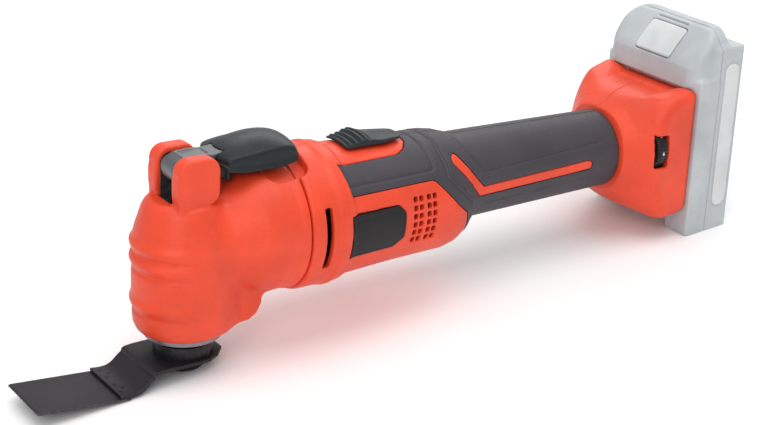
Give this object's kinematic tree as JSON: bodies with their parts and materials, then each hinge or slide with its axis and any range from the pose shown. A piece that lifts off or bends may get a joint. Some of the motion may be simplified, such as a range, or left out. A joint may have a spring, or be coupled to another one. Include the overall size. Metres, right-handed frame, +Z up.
{
  "type": "oscillating multi tool",
  "caption": "Cordless oscillating multi tool with a quick-release lever, plunge-cut blade, slide switch, speed dial and slide-on battery.",
  "frame": {"origin": "on the spindle's axis, at the flange's underside where the accessory seats", "axes": "+X runs back along the handle to the battery, +Y to the tool's right, +Z up along the spindle, away from the accessory"},
  "size_m": [0.4012, 0.0754, 0.1415],
  "materials": {
    "orange_plastic": "moulded satin",
    "black_rubber": "matt overmould",
    "dark_plastic": "moulded satin",
    "black_plastic": "moulded satin",
    "pale_plastic": "moulded satin",
    "button_plastic": "moulded satin",
    "blade_steel": "blackened",
    "dark_steel": "black oxide",
    "dark_casting": "black coated casting",
    "steel": "ground",
    "lever_metal": "sintered grey",
    "aluminium": "die cast",
    "ring_metal": "anodised",
    "copper": "bare",
    "contact_metal": "bare",
    "magnet": "sintered",
    "board": "solder mask",
    "lens": "clear",
    "cell_wrap": "shrink wrap"
  },
  "bodies": {
    "housing": {"bearing_retainer_ring": "ring_metal", "gear_housing": "dark_casting", "gear_housing_screws": "dark_steel", "head_cover": "orange_plastic", "housing_screws": "dark_steel", "lamp_board": "board", "lamp_lens": "lens", "left_badge": "black_plastic", "left_grip": "black_rubber", "left_housing_shell": "orange_plastic", "lever_pivot_pin": "steel", "lower_spindle_bearing": "steel", "motor_can": "steel", "motor_end_cap": "black_plastic", "motor_front_bearing": "steel", "motor_magnets": "magnet", "motor_mount_plate": "aluminium", "motor_rear_bearing": "steel", "power_switch": "black_plastic", "right_badge": "black_plastic", "right_grip": "black_rubber", "right_housing_shell": "orange_plastic", "speed_control_board": "board", "terminal_block": "contact_metal", "upper_spindle_bearing": "steel"},
    "spindle": {"output_spindle": "dark_steel", "drive_fork": "steel", "clamp_spring": "steel"},
    "rotor": {"motor_shaft": "steel", "armature": "copper", "commutator": "copper", "cooling_fan": "black_plastic", "eccentric": "steel", "eccentric_bearing": "steel"},
    "clamp_plunger": {"clamp_plunger": "steel"},
    "lever": {"lever_arm": "lever_metal", "lever_paddle": "dark_plastic"},
    "accessory": {"clamp_bolt": "dark_steel", "blade_hub": "blade_steel", "blade_strip": "blade_steel"},
    "slide_switch": {"switch_slider": "black_plastic", "switch_rod": "black_plastic"},
    "speed_dial": {"speed_dial": "black_plastic"},
    "battery": {"battery_front_shell": "pale_plastic", "battery_rear_shell": "pale_plastic", "battery_cells": "cell_wrap", "cell_holder": "black_plastic", "battery_contacts": "black_plastic", "battery_screws": "dark_steel"},
    "battery_button": {"battery_button": "button_plastic", "button_spring": "steel"}
  },
  "joints": [
    {"name": "spindle_oscillation", "type": "hinge", "parent": "housing", "child": "spindle", "pos_m": [0, 0, 0.03], "axis": [0, 0, 1], "range_deg": [-1.6, 1.6]},
    {"name": "rotor_spin", "type": "hinge", "parent": "housing", "child": "rotor", "pos_m": [0.06, 0, 0.058], "axis": [1, 0, 0], "continuous": true},
    {"name": "lever_swing", "type": "hinge", "parent": "housing", "child": "lever", "pos_m": [0, 0, 0.091], "axis": [0, -1, 0], "range_deg": [0, 120]},
    {"name": "plunger_slide", "type": "slide", "parent": "housing", "child": "clamp_plunger", "axis": [0, 0, -1], "range_m": [0, 0.004]},
    {"name": "bolt_pull", "type": "slide", "parent": "spindle", "child": "accessory", "axis": [0, 0, -1], "range_m": [0, 0.045]},
    {"name": "switch_slide", "type": "slide", "parent": "housing", "child": "slide_switch", "axis": [-1, 0, 0], "range_m": [0, 0.007]},
    {"name": "dial_turn", "type": "hinge", "parent": "housing", "child": "speed_dial", "pos_m": [0.2668, -0.0243, 0.0678], "axis": [1, 0, 0], "range_deg": [-270, 0]},
    {"name": "battery_slide", "type": "slide", "parent": "housing", "child": "battery", "axis": [0, 0, 1], "range_m": [0, 0.075]},
    {"name": "button_press", "type": "slide", "parent": "battery", "child": "battery_button", "axis": [0.7408, 0, -0.6717], "range_m": [0, 0.003], "stiffness_N_per_m": 700, "springref_m": -0.002}
  ],
  "couplings": [
    {"joint": "plunger_slide", "follows": "lever_swing", "m_per_rad": 0.0019098}
  ]
}
